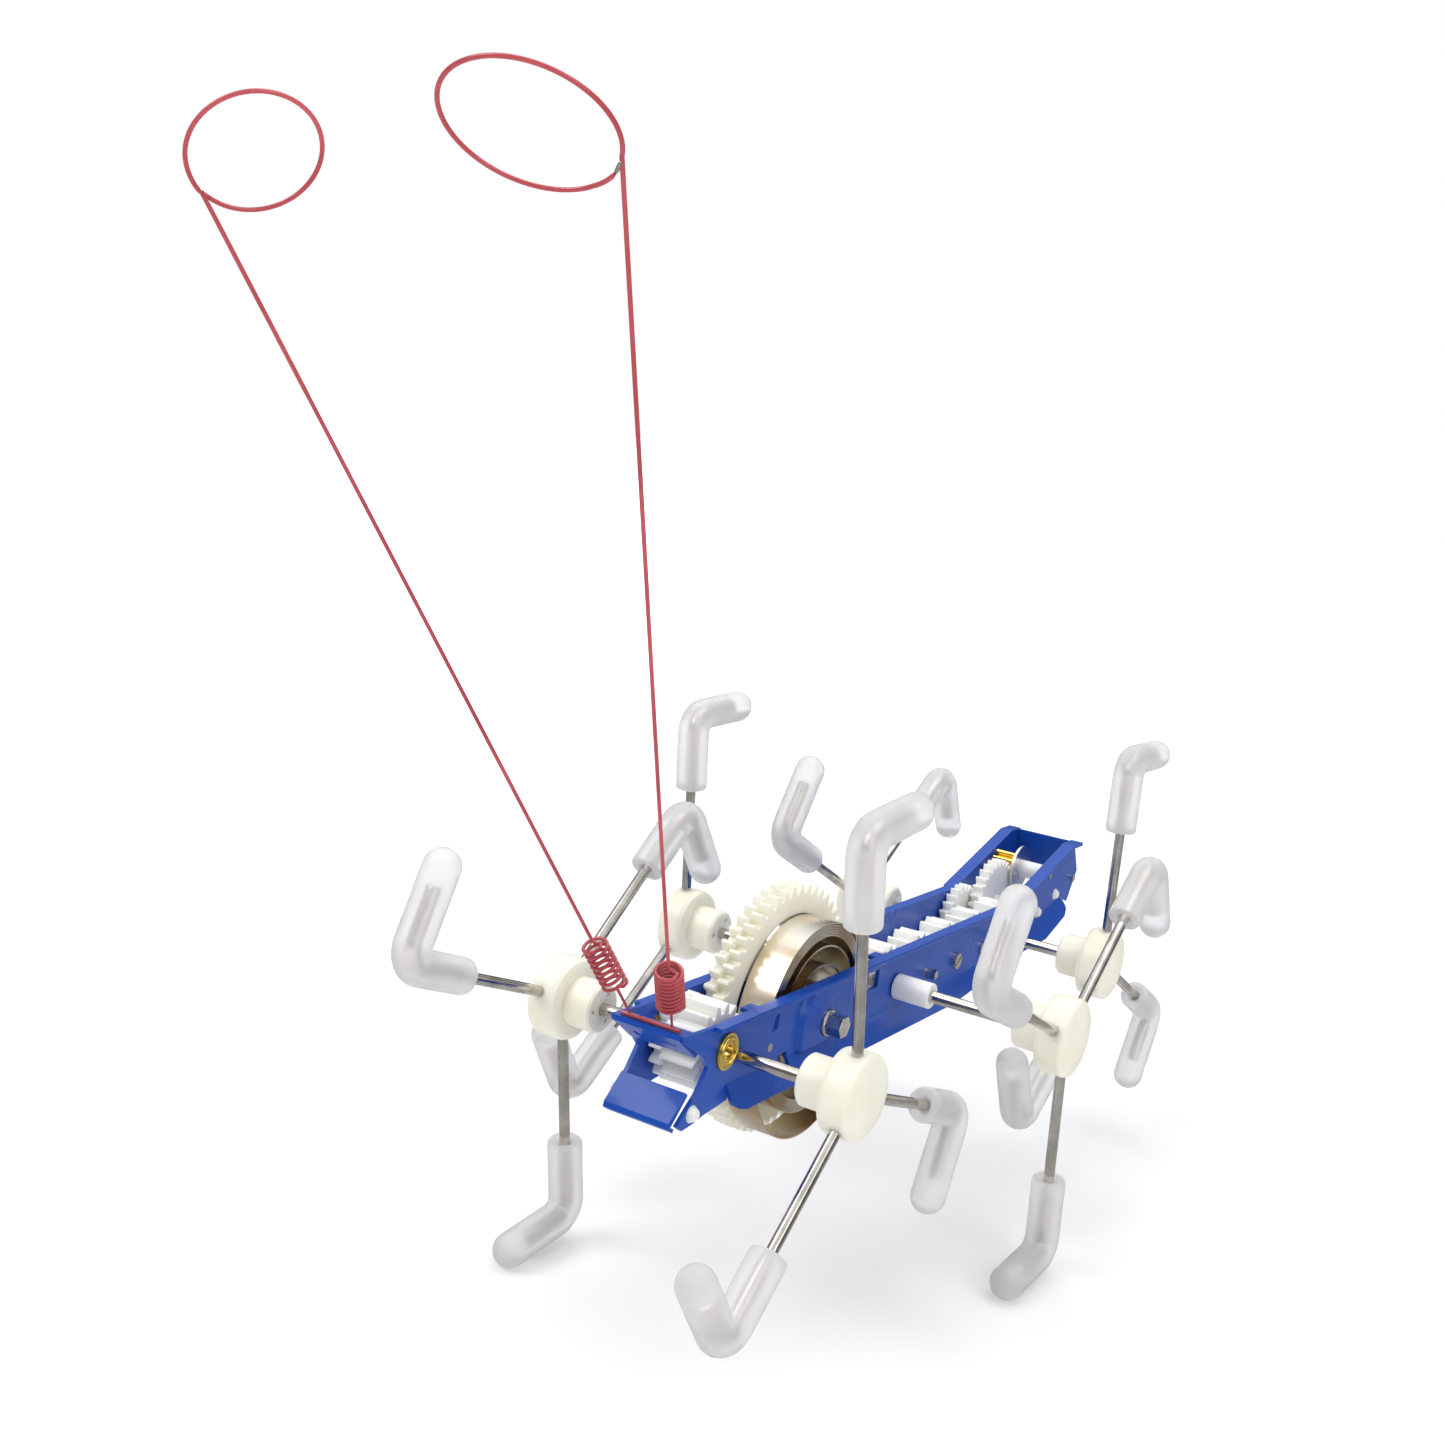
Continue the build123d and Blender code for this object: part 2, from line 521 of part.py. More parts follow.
def antenna(side, lean_out, lean_forward, turns, loop_r, loop_out, loop_normal):
    """Coil, stem and end loop of one antenna, one wire in three solids that meet face to face."""
    lean = Vector(side * sin(radians(lean_out)), -sin(radians(lean_forward)), 0)
    along = Vector(lean.X, lean.Y, sqrt(1 - lean.X ** 2 - lean.Y ** 2))
    base = Vector(side * ANTENNA_X, BAR_Y, BAR_Z + ANTENNA_D / 2)
    frame = Plane(origin=base, z_dir=along, x_dir=Vector(1, 0, -along.X / along.Z))
    radius = ANTENNA_D / 2
    helix = Helix(pitch=COIL_LENGTH / turns, height=COIL_LENGTH, radius=COIL_R)
    coil = sweep(Plane(helix @ 0, z_dir=helix % 0) * Circle(radius), path=helix, is_frenet=True)
    stub = Pos(0, 0, STUB / 2) * Cylinder(radius, STUB)
    foot = Pos(COIL_R / 2, 0, STUB) * Rot(0, 90, 0) * Cylinder(radius, COIL_R)
    head = Pos(COIL_R / 2, 0, STUB + COIL_LENGTH) * Rot(0, 90, 0) * Cylinder(radius, COIL_R)
    spring = merge(Pos(0, 0, STUB) * coil, stub, foot, head, Pos(0, 0, STUB) * Sphere(radius),
                   Pos(COIL_R, 0, STUB) * Sphere(radius), Pos(COIL_R, 0, STUB + COIL_LENGTH) * Sphere(radius),
                   Pos(0, 0, STUB + COIL_LENGTH) * Sphere(radius))
    stem_from = STUB + COIL_LENGTH
    stem = Pos(0, 0, (stem_from + STEM_END) / 2) * Cylinder(radius, STEM_END - stem_from)
    wire = frame * merge(spring, stem)
    end = base + along * STEM_END
    normal = Vector(*loop_normal).normalized()
    out = Vector(*loop_out)
    out = (out - normal * out.dot(normal)).normalized()
    loop_plane = Plane(origin=end + out * loop_r, z_dir=normal, x_dir=out * -1)
    ring = Rot(90, 0, 0) * Circle(radius)
    loop = revolve(Pos(loop_r, 0, 0) * ring, Axis.Z, revolution_arc=350)
    return merge(wire, loop_plane * loop, Pos(*end) * Sphere(radius))


def antenna_base_bar():
    return rod(ANTENNA_D / 2, -4.3, 4.3, BAR_Y, BAR_Z)


# ---------------------------------------------------------------- nodes
nodes = {}


def add_wheel(name, parts, at):
    hub_body, wires, boots = parts
    spot = Pos(0, *at)
    nodes[name + "_hub"] = [spot * hub_body]
    nodes[name + "_leg_wires"] = [spot * wire for wire in wires]
    nodes[name + "_boots"] = [spot * sock for sock in boots]


right_plate = side_plate(winding_side=True)
nodes["right_side_plate"] = [right_plate]
nodes["left_side_plate"] = [mirror(side_plate(winding_side=False), about=Plane.YZ)]
nodes["front_bridge"] = [front_bridge()]
nodes["chin_panel"] = [chin_panel()]
nodes["rear_wall"] = [rear_wall()]
nodes["brass_eyelets"] = both_sides(eyelet())
nodes["chin_rivets"] = both_sides(headed_stud(1.15, 0.8, CHIN_RIVET_AT))
nodes["nylon_studs"] = [half for at in STUDS_AT for half in both_sides(headed_stud(1.0, 0.6, at))]
nodes["rear_cross_pin"] = [rod(0.6, -HALF_WIDTH - 0.6, HALF_WIDTH + 0.6, *REAR_PIN_AT)]
for name, at, tail in zip(("square_end_pin", "slotted_pin", "plain_pin"), idlers,
                          (square_tail(), slotted_tail(), plain_tail())):
    nodes["idler_" + name] = [idler_pin(at, tail)]
nodes["spring_post"] = [rod(0.6, SPRING_LEFT, HALF_WIDTH + 0.05, *SPRING_POST_AT)]

add_wheel("front_right", front_right, front_axle)
add_wheel("front_left", front_left, front_axle)
add_wheel("middle_right", middle_right, middle_axle)
add_wheel("middle_left", middle_left, middle_axle)
add_wheel("rear_right", rear_right, rear_axle)
add_wheel("rear_left", rear_left, rear_axle)
nodes["front_axle"] = [rod(AXLE_D / 2, -FRONT_HUB_X - 0.8, FRONT_HUB_X + 0.8, *front_axle)]
nodes["middle_axle"] = [rod(AXLE_D / 2, -MIDDLE_HUB_X - 0.8, MIDDLE_HUB_X + 0.8, *middle_axle)]
nodes["rear_axle"] = [rod(AXLE_D / 2, -FRONT_HUB_X - 0.8, FRONT_HUB_X + 0.8, *rear_axle)]
sleeve = rod(1.9, HALF_WIDTH + 0.15, HALF_WIDTH + 5.9) - rod(AXLE_D / 2, 0, 20)
nodes["middle_axle_sleeves"] = [Pos(0, *middle_axle) * half for half in both_sides(sleeve)]

nodes["front_gear"] = [front_gear()]
nodes["great_wheel"] = [great_wheel()]
nodes["mainspring"] = [mainspring()]
nodes["winding_arbor"] = [winding_arbor()]
nodes["ratchet_wheel"] = [ratchet_wheel()]
nodes["ratchet_click"] = [click()]
nodes["click_pin"] = [click_pin()]
nodes["middle_gear"] = [middle_gear()]
for index in range(3):
    nodes["idler_gear_%d" % (index + 1)] = [idler_gear(index)]
nodes["rear_gear"] = [rear_gear()]
nodes["governor_drive_gear"] = [governor_drive_gear()]
nodes["governor_wheel"] = [governor_wheel()]
nodes["governor_spindle"] = [governor_spindle()]
nodes["governor_pinion"] = [governor_pinion()]
nodes["governor_disc"] = [governor_disc()]
nodes["governor_collar"] = [governor_collar()]

nodes["antenna_base_bar"] = [antenna_base_bar()]
nodes["left_antenna"] = [antenna(-1, 9.5, 33.9, 8, 6.1, (4.2, 2.1, 3.9), (0.73, -0.32, -0.61))]
nodes["right_antenna"] = [antenna(1, 8.7, 28.4, 10, 7.9, (-6.4, -4.3, 1.5), (0.13, -0.49, -0.86))]


# ---------------------------------------------------------------- final frame and files
boxes = [solid.bounding_box() for solids in nodes.values() for solid in solids]
middle_x = (min(box.min.X for box in boxes) + max(box.max.X for box in boxes)) / 2
middle_y = (min(box.min.Y for box in boxes) + max(box.max.Y for box in boxes)) / 2
HOME = (-middle_x, -middle_y, FRONT_HEIGHT)

if __name__ == "__main__":
    os.makedirs("parts", exist_ok=True)
    for name, solids in nodes.items():
        placed = [Pos(*HOME) * solid for solid in solids]
        shape = placed[0] if len(placed) == 1 else Compound(children=placed)
        export_step(shape, "parts/%s.step" % name)
    print("module", MODULE, "front axle at", [round(value, 4) for value in HOME])
    print("axles", middle_axle, rear_axle, "arbor", arbor, "idlers", idlers)
    print("governor", governor_wheel_at, governor_at, "click", click_at)
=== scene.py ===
import json
import math

import bmesh
import bpy
from mathutils import Matrix, Vector

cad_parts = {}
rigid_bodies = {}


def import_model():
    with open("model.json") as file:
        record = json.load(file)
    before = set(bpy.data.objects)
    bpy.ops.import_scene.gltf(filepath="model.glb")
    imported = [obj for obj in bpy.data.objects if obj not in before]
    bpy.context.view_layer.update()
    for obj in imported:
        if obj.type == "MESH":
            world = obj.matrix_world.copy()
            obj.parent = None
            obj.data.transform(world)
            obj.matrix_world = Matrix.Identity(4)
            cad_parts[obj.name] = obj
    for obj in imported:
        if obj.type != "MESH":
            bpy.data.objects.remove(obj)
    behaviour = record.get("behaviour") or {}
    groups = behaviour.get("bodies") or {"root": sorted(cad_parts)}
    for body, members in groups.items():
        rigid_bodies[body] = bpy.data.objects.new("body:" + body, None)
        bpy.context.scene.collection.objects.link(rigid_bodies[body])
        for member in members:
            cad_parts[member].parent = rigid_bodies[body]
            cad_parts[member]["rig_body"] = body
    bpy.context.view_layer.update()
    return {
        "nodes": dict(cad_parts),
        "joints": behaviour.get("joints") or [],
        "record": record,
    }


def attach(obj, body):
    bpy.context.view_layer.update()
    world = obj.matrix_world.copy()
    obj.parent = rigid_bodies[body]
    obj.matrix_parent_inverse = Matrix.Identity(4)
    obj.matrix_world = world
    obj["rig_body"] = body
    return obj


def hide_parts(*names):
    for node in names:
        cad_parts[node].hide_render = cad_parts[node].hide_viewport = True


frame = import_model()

# ---------------------------------------------------------------- measures, in metres
MM = 0.001
LEG_REACH = 34 * MM
WIRE_R = 0.75 * MM
BOOT_R = 2.4 * MM
BOOT_START = 0.66 * LEG_REACH
FOOT_LENGTH = 0.36 * LEG_REACH
FOOT_TURN = math.radians(95.1)
BEND_R = 2.6 * MM
JOINTS = {joint["name"]: joint for joint in frame["joints"]}


def joint_point(name):
    return Vector(JOINTS[name]["pos_m"])


# ---------------------------------------------------------------- camera, floor and light
CAMERA_AZIMUTH, CAMERA_ELEVATION, CAMERA_ROLL = 31.107, 9.635, 7.012    # degrees
CAMERA_OFFSET = (-0.079, -1.200, 6.618)    # of the front axle from the camera axis, in leg reaches
CAMERA_LENS = 44.0                          # mm on a 36 mm frame


def make_camera():
    """Camera at the reference view, set out from the middle of the front axle."""
    azimuth, elevation, roll = (math.radians(v) for v in (CAMERA_AZIMUTH, CAMERA_ELEVATION, CAMERA_ROLL))
    right = Vector((math.cos(azimuth), math.sin(azimuth), 0))
    back = Vector((math.sin(azimuth) * math.cos(elevation), -math.cos(azimuth) * math.cos(elevation),
                   math.sin(elevation)))
    up = back.cross(right)
    rolled_right = right * math.cos(roll) + up * math.sin(roll)
    rolled_up = up * math.cos(roll) - right * math.sin(roll)
    x, y, distance = CAMERA_OFFSET
    place = joint_point("front_axle_turn") + LEG_REACH * (
        back * distance - rolled_right * x - rolled_up * y)
    data = bpy.data.cameras.new("camera")
    data.lens = CAMERA_LENS
    data.sensor_width = 36
    data.clip_start = 0.01
    data.clip_end = 20
    camera = bpy.data.objects.new("camera", data)
    turn = Matrix((rolled_right, rolled_up, back)).transposed().to_4x4()
    camera.matrix_world = Matrix.Translation(place) @ turn
    bpy.context.scene.collection.objects.link(camera)
    bpy.context.scene.camera = camera


def add_area(name, place, aim, size, power):
    data = bpy.data.lights.new(name, "AREA")
    data.shape = "RECTANGLE"
    data.size, data.size_y = size
    data.energy = power
    light = bpy.data.objects.new(name, data)
    direction = Vector(aim) - Vector(place)
    turn = direction.to_track_quat("-Z", "Y").to_matrix().to_4x4()
    light.matrix_world = Matrix.Translation(place) @ turn
    bpy.context.scene.collection.objects.link(light)


LIGHTS = {                                  # metres from the middle axle, size in metres, watts
    "key": ((-0.45, -0.50, 0.70), (0.5, 0.5), 3.2),
    "fill": ((0.75, -0.30, 0.35), (0.5, 0.5), 1.6),
    "top": ((0.05, 0.25, 0.9), (0.9, 0.6), 3.0),
}

# From straight down (0) to straight up (1): share of the way, and how bright the tent is there.
SKY = ((0.0, 0.55), (0.40, 0.42), (0.50, 0.06), (0.64, 0.24), (0.90, 0.95))


def make_world():
    """Light tent: white to the camera, soft grey with a bright ceiling for everything else."""
    world = bpy.data.worlds.new("studio")
    bpy.context.scene.world = world
    world.use_nodes = True
    nodes, links = world.node_tree.nodes, world.node_tree.links
    background = nodes["Background"]
    coord = nodes.new("ShaderNodeTexCoord")
    split = nodes.new("ShaderNodeSeparateXYZ")
    height = nodes.new("ShaderNodeMapRange")
    height.inputs["From Min"].default_value = -1.0
    ramp = nodes.new("ShaderNodeValToRGB")
    elements = ramp.color_ramp.elements
    for _ in range(3):
        elements.new(0.5)
    for element, (position, grey) in zip(elements, SKY):
        element.position = position
        element.color = (grey, grey, grey * 1.02, 1)
    path = nodes.new("ShaderNodeLightPath")
    pick = nodes.new("ShaderNodeMix")
    pick.data_type = "RGBA"
    pick.inputs["B"].default_value = (1.0, 1.0, 1.0, 1)
    links.new(coord.outputs["Generated"], split.inputs[0])
    links.new(split.outputs["Z"], height.inputs["Value"])
    links.new(height.outputs["Result"], ramp.inputs[0])
    links.new(path.outputs["Is Camera Ray"], pick.inputs["Factor"])
    links.new(ramp.outputs["Color"], pick.inputs["A"])
    links.new(pick.outputs["Result"], background.inputs["Color"])
    background.inputs["Strength"].default_value = 1.0


def make_floor(material):
    mesh = bpy.data.meshes.new("floor")
    shape = bmesh.new()
    half = 6.0
    corners = [shape.verts.new((x * half, y * half, 0)) for x, y in ((-1, -1), (1, -1), (1, 1), (-1, 1))]
    shape.faces.new(corners)
    shape.to_mesh(mesh)
    shape.free()
    floor = bpy.data.objects.new("floor", mesh)
    bpy.context.scene.collection.objects.link(floor)
    mesh.materials.append(material)
    floor.visible_glossy = False


# ---------------------------------------------------------------- materials
class Shader:
    """A node material with the few steps that every finish here needs."""

    def __init__(self, name):
        self.material = bpy.data.materials.new(name)
        self.material.use_nodes = True
        self.nodes = self.material.node_tree.nodes
        self.links = self.material.node_tree.links
        self.bsdf = self.nodes["Principled BSDF"]
        self.coord = self.nodes.new("ShaderNodeTexCoord").outputs["Object"]

    def set(self, **values):
        for name, value in values.items():
            self.bsdf.inputs[name.replace("_", " ")].default_value = value
        return self

    def noise(self, per_metre, detail=4.0, stretch=(1, 1, 1)):
        mapping = self.nodes.new("ShaderNodeMapping")
        mapping.inputs["Scale"].default_value = stretch
        self.links.new(self.coord, mapping.inputs["Vector"])
        texture = self.nodes.new("ShaderNodeTexNoise")
        texture.inputs["Scale"].default_value = per_metre
        texture.inputs["Detail"].default_value = detail
        self.links.new(mapping.outputs["Vector"], texture.inputs["Vector"])
        return texture.outputs["Fac"]

    def ramp(self, value, stops):
        node = self.nodes.new("ShaderNodeValToRGB")
        elements = node.color_ramp.elements
        while len(elements) < len(stops):
            elements.new(0.5)
        for element, (position, colour) in zip(elements, stops):
            element.position = position
            element.color = (*colour, 1)
        self.links.new(value, node.inputs[0])
        return node.outputs["Color"]

    def colour(self, value, stops):
        self.links.new(self.ramp(value, stops), self.bsdf.inputs["Base Color"])
        return self

    def roughness(self, value, low, high):
        node = self.nodes.new("ShaderNodeMapRange")
        node.inputs["To Min"].default_value = low
        node.inputs["To Max"].default_value = high
        self.links.new(value, node.inputs["Value"])
        self.links.new(node.outputs["Result"], self.bsdf.inputs["Roughness"])
        return self

    def bump(self, value, distance, strength=0.5):
        node = self.nodes.new("ShaderNodeBump")
        node.inputs["Distance"].default_value = distance
        node.inputs["Strength"].default_value = strength
        self.links.new(value, node.inputs["Height"])
        previous = self.bsdf.inputs["Normal"].links
        if previous:
            self.links.new(previous[0].from_socket, node.inputs["Normal"])
        self.links.new(node.outputs["Normal"], self.bsdf.inputs["Normal"])
        return self


def blue_paint():
    """Glossy royal-blue stoving enamel."""
    shader = Shader("blue_paint").set(Coat_Weight=0.22, Coat_Roughness=0.05, IOR=1.33, Roughness=0.3)
    shader.colour(shader.noise(45, 3), [(0.3, (0.004, 0.056, 0.35)), (0.7, (0.008, 0.072, 0.42))])
    shader.roughness(shader.noise(120, 3), 0.24, 0.34)
    return shader.material


def nylon(name, low, high, rough, subsurface=0.4):
    """Moulded nylon: waxy, slightly translucent, with faint flow marks."""
    shader = Shader(name).set(IOR=1.53, Subsurface_Weight=subsurface, Subsurface_Scale=0.0025)
    shader.bsdf.inputs["Subsurface Radius"].default_value = (1.0, 0.9, 0.7)
    shader.colour(shader.noise(180, 5), [(0.3, low), (0.7, high)])
    shader.roughness(shader.noise(1500, 4), rough - 0.06, rough + 0.08)
    shader.bump(shader.noise(2200, 3), 0.00004, 0.4)
    return shader.material


def boot_rubber():
    """Frosted, slightly milky silicone: the wire shows through as a soft grey core."""
    shader = Shader("boot_rubber").set(IOR=1.36, Transmission_Weight=0.60)
    shader.colour(shader.noise(140, 4), [(0.3, (0.90, 0.90, 0.905)), (0.7, (0.955, 0.955, 0.95))])
    shader.roughness(shader.noise(420, 4), 0.38, 0.50)
    shader.bump(shader.noise(900, 4), 0.00004, 0.35)
    return shader.material


def drawn_steel(name, low, high, rough, stretch):
    """Bare steel with fine drawing lines along its length."""
    shader = Shader(name).set(Metallic=1.0)
    shader.colour(shader.noise(300, 5), [(0.3, low), (0.7, high)])
    lines = shader.noise(3500, 3, stretch)
    shader.roughness(lines, rough - 0.06, rough + 0.1)
    shader.bump(lines, 0.00001, 0.25)
    return shader.material


def spring_steel():
    """Tempered spring band: pale where it is polished, straw and bronze where the heat has tinted it."""
    shader = Shader("spring_steel").set(Metallic=1.0)
    shader.colour(shader.noise(95, 2, (0.5, 1, 1)), [
        (0.30, (0.24, 0.18, 0.13)), (0.42, (0.58, 0.42, 0.25)), (0.52, (0.80, 0.70, 0.56)),
        (0.68, (0.88, 0.86, 0.81))])
    shader.roughness(shader.noise(2400, 3, (0.2, 1, 1)), 0.16, 0.32)
    return shader.material


def brass():
    shader = Shader("brass").set(Metallic=1.0)
    shader.colour(shader.noise(160, 4), [(0.3, (0.68, 0.46, 0.09)), (0.7, (0.86, 0.64, 0.18))])
    shader.roughness(shader.noise(300, 3), 0.16, 0.26)
    return shader.material


def red_enamel():
    """Enamelled copper wire: red varnish, duller where it has been handled."""
    shader = Shader("red_enamel").set(Coat_Weight=0.5, Coat_Roughness=0.12, IOR=1.5)
    shader.colour(shader.noise(90, 5), [(0.32, (0.38, 0.030, 0.042)), (0.68, (0.52, 0.075, 0.09))])
    shader.roughness(shader.noise(1200, 4), 0.28, 0.46)
    shader.bump(shader.noise(3000, 2), 0.00002, 0.3)
    return shader.material


FLOOR_GLOW = (0.15, 1.0)           # light that the floor gives off under the toy, and far away
GLOW_SPAN = 1.2                    # metres from the middle that the change is measured over
GLOW_REACH = (0.20 / GLOW_SPAN, 0.70 / GLOW_SPAN)    # where it starts and stops rising


def floor_white():
    """White sheet with a painted glow: the glow is weak near the toy so pale shadows show, and rises farther
    off until the floor burns out to white.
    """
    shader = Shader("floor_white").set(Roughness=0.8, Specular_IOR_Level=0.1, Emission_Strength=1.0)
    distance = shader.nodes.new("ShaderNodeVectorMath")
    distance.operation = "LENGTH"
    shader.links.new(shader.coord, distance.inputs[0])
    share = shader.nodes.new("ShaderNodeMapRange")
    share.inputs["From Max"].default_value = GLOW_SPAN
    shader.links.new(distance.outputs["Value"], share.inputs["Value"])
    near, far = ((glow, glow, glow) for glow in FLOOR_GLOW)
    glow = shader.ramp(share.outputs["Result"], [(GLOW_REACH[0], near), (GLOW_REACH[1], far)])
    # painted glow: the floor's own emission, weak under the toy and rising to full white with distance
    shader.links.new(glow, shader.bsdf.inputs["Emission Color"])
    shader.colour(shader.noise(3, 2), [(0.3, (0.80, 0.80, 0.80)), (0.7, (0.82, 0.82, 0.82))])
    return shader.material


FINISH = {
    "blue_paint": blue_paint(),
    "steel_wire": drawn_steel("steel_wire", (0.44, 0.41, 0.37), (0.74, 0.70, 0.65), 0.13, (1, 1, 1)),
    "spring_steel": spring_steel(),
    "boot_rubber": boot_rubber(),
    "cream_nylon": nylon("cream_nylon", (0.83, 0.80, 0.66), (0.90, 0.88, 0.76), 0.36),
    "white_nylon": nylon("white_nylon", (0.83, 0.83, 0.79), (0.91, 0.91, 0.88), 0.34),
    "brass": brass(),
    "disc_aluminium": drawn_steel("disc_aluminium", (0.74, 0.75, 0.76), (0.84, 0.85, 0.86), 0.26, (1, 6, 6)),
    "red_enamel": red_enamel(),
}
SLOT_OF = {part["node"]: part["material_slot"] for part in frame["record"]["subparts"]}


# ---------------------------------------------------------------- pieces
def add_piece(name, mesh, node):
    """A finished piece that stands for one CAD node and moves with it."""
    piece = bpy.data.objects.new(name, mesh)
    bpy.context.scene.collection.objects.link(piece)
    slot = SLOT_OF[node]
    mesh.materials.clear()
    mesh.materials.append(FINISH[slot])
    mesh.shade_smooth()
    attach(piece, frame["nodes"][node]["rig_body"])
    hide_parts(node)
    return piece


def rounded_copy(node, width, angle=32, segments=2):
    """The CAD shape with its sharp edges broken, as pressing, moulding or tumbling leaves them."""
    source = frame["nodes"][node].data
    mesh = source.copy()
    mesh.name = node + "_finished"
    shape = bmesh.new()
    shape.from_mesh(mesh)
    bmesh.ops.remove_doubles(shape, verts=shape.verts, dist=2e-7)
    bmesh.ops.dissolve_limit(shape, angle_limit=math.radians(0.6), verts=shape.verts, edges=shape.edges)
    shape.to_mesh(mesh)
    shape.free()
    piece = add_piece(node + "_finished", mesh, node)
    mesh.set_sharp_from_angle(angle=math.radians(angle))
    bevel = piece.modifiers.new("edges", "BEVEL")
    bevel.width = width
    bevel.segments = segments
    bevel.limit_method = "ANGLE"
    bevel.angle_limit = math.radians(angle)
    bevel.harden_normals = True
    bevel.use_clamp_overlap = True
    return piece


def keep_cad(node):
    """A carried-over CAD node with its finish."""
    mesh = frame["nodes"][node].data
    mesh.materials.clear()
    mesh.materials.append(FINISH[SLOT_OF[node]])
    mesh.shade_smooth()


def leg_line(start, end_share, steps=12):
    """Centre line of a leg along +Y, its foot turned down: a list of points."""
    corner = Vector((0, LEG_REACH, 0))
    foot = Vector((0, math.cos(FOOT_TURN), -math.sin(FOOT_TURN)))
    tangent = BEND_R * math.tan(FOOT_TURN / 2)
    centre = Vector((0, LEG_REACH - tangent, -BEND_R))
    straight = LEG_REACH - tangent - start
    line = [Vector((0, start + straight * step / steps, 0)) for step in range(steps)]
    for step in range(steps + 1):
        turn = FOOT_TURN * step / steps
        line.append(centre + BEND_R * Vector((0, math.sin(turn), math.cos(turn))))
    rest = FOOT_LENGTH * end_share - tangent
    line += [corner + foot * (tangent + rest * step / steps) for step in range(1, steps + 1)]
    return line


def ring_of(shape, point, direction, radius, sides):
    """Ring of vertices square to the direction; the direction lies in the YZ plane."""
    across = Vector((1, 0, 0))
    up = across.cross(direction).normalized()
    turns = [2 * math.pi * index / sides for index in range(sides)]
    return [shape.verts.new(point + radius * (math.cos(t) * across + math.sin(t) * up)) for t in turns]


def skin(shape, low, high):
    for index in range(len(low)):
        after = (index + 1) % len(low)
        shape.faces.new((low[index], low[after], high[after], high[index]))


def swept(shape, stations, sides, matrix):
    """Closed round body through stations of (point, direction, radius), its two ends capped flat."""
    rings = [ring_of(shape, *station, sides) for station in stations]
    for low, high in zip(rings, rings[1:]):
        skin(shape, low, high)
    shape.faces.new(list(reversed(rings[0])))
    shape.faces.new(rings[-1])
    bmesh.ops.transform(shape, matrix=matrix, verts=[vertex for ring in rings for vertex in ring])


def directions(line):
    ends = [line[0]] + line + [line[-1]]
    return [(ends[i + 2] - ends[i]).normalized() for i in range(len(line))]


def round_end(point, direction, radius, steps=8):
    """Stations of a half-ball end beyond the point."""
    found = []
    for step in range(1, steps):
        angle = math.pi / 2 * step / steps
        found.append((point + direction * radius * math.sin(angle), direction, radius * math.cos(angle)))
    found.append((point + direction * radius, direction, radius * 0.03))
    return found


def boot_stations():
    """Silicone boot: recessed cuff round the wire, straight sleeve, bend and ball tip."""
    line = leg_line(BOOT_START, 1.0)
    heading = directions(line)
    along = Vector((0, 1, 0))
    start = line[0]
    stations = [
        (start + along * 1.3 * MM, along, WIRE_R * 1.02), (start + along * 0.35 * MM, along, WIRE_R * 1.1),
        (start + along * 0.08 * MM, along, WIRE_R * 1.5), (start, along, BOOT_R * 0.6),
        (start, along, BOOT_R * 0.86), (start + along * 0.06 * MM, along, BOOT_R * 0.93),
        (start + along * 0.18 * MM, along, BOOT_R * 0.975), (start + along * 0.42 * MM, along, BOOT_R)]
    stations += [(point, way, BOOT_R) for point, way in zip(line[1:], heading[1:])]
    return stations + round_end(line[-1], heading[-1], BOOT_R)


def wire_stations():
    line = leg_line(2.6 * MM, 0.80)
    heading = directions(line)
    radius = WIRE_R
    stations = [(point, way, radius) for point, way in zip(line, heading)]
    tip, way = line[-1], heading[-1]
    return stations[:-1] + [(tip - way * 0.15 * MM, way, radius), (tip - way * 0.04 * MM, way, radius * 0.93),
                            (tip, way, radius * 0.8)]


def leg_places(side, hub_x, joint, angles, phase):
    """Where the three legs of one wheel start: at the middle of its hub, each turned about the axle."""
    axle = joint_point(joint)
    hub = Matrix.Translation((side * hub_x, axle.y, axle.z))
    return [hub @ Matrix.Rotation(math.radians(angle + phase), 4, "X") for angle in angles]


def leg_piece(node, stations, sides, places):
    mesh = bpy.data.meshes.new(node + "_finished")
    shape = bmesh.new()
    for place in places:
        swept(shape, stations, sides, place)
    bmesh.ops.recalc_face_normals(shape, faces=shape.faces)
    shape.to_mesh(mesh)
    shape.free()
    piece = add_piece(node + "_finished", mesh, node)
    mesh.set_sharp_from_angle(angle=math.radians(50))
    return piece


# ---------------------------------------------------------------- antennas
ANTENNA_R = 0.22 * MM
COIL_CORNER = 0.3 * MM                               # length of wire that rounds the step out to the coil
STEM_END = 106.4 * MM
ANTENNA_BASE = Vector((3.1, -12.6, 5.95)) * MM      # of the right one, from the front axle
LOOP_TURN = 360                                      # degrees of wire in an end loop
LOOP_CROSSING = 40                                   # over the last of these it moves clear beside the stem
LOOP_STEP = 5                                        # degrees between the points of a loop
COIL_STEPS = 28                                      # points in each turn of a coil


